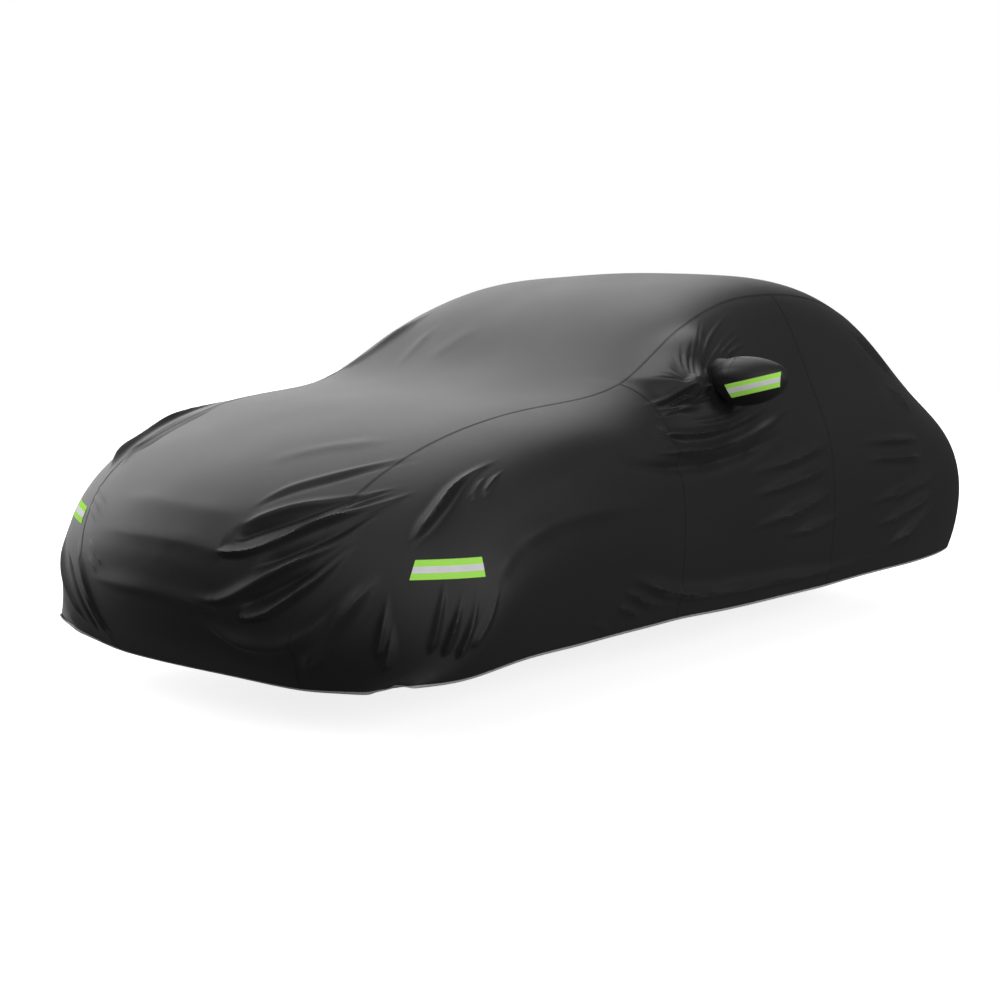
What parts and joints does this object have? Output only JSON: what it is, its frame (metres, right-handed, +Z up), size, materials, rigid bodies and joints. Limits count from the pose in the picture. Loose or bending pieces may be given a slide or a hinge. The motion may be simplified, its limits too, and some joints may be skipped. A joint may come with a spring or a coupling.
{
  "type": "car cover",
  "caption": "Fitted fabric cover for a small coupe, hanging in its shaped form to a bound hem, with a mirror pocket and reflective tapes.",
  "frame": {"origin": "the inside of the roof, on the middle line, where the cover rests on what it covers; the ground is 1.414 m below", "axes": "+Z up, +Y from the nose to the tail, +X to the cover's left side, the side with the mirror pocket"},
  "size_m": [2.0108, 4.1158, 1.2762],
  "materials": {
    "cloth": "soft satin, black coated weave",
    "binding": "matt, pale grey",
    "tape": "lime green reflective tape",
    "stripe": "silver reflective stripe"
  },
  "bodies": {
    "root": {"top_panel": "cloth", "side_front_left": "cloth", "side_door_left": "cloth", "side_rear_left": "cloth", "side_front_right": "cloth", "side_door_right": "cloth", "side_rear_right": "cloth", "mirror_pocket_left": "cloth", "hem_binding": "binding", "front_tape_left": "tape", "front_tape_right": "tape", "mirror_tape_left": "tape", "front_stripe_left": "stripe", "front_stripe_right": "stripe", "mirror_stripe_left": "stripe"}
  },
  "joints": []
}
